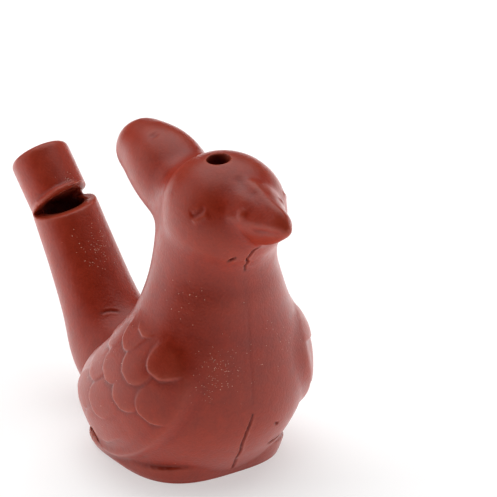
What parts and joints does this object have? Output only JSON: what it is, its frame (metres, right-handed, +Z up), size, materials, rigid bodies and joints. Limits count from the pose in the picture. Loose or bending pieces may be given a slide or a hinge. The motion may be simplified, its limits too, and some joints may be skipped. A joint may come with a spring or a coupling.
{
  "type": "bird whistle",
  "caption": "Hollow clay bird whistle with a swept-back crest, folded feathered wings, a flat foot, a water hole in the crown and a tail pipe ending in a mouthpiece",
  "frame": {"origin": "on the ground under the middle of the foot", "axes": "+X is the way the bird looks, +Y is its left, +Z is up"},
  "size_m": [0.0942, 0.0452, 0.0676],
  "materials": {
    "clay": "unglazed, matt"
  },
  "bodies": {
    "root": {"clay_body": "clay"}
  },
  "joints": []
}
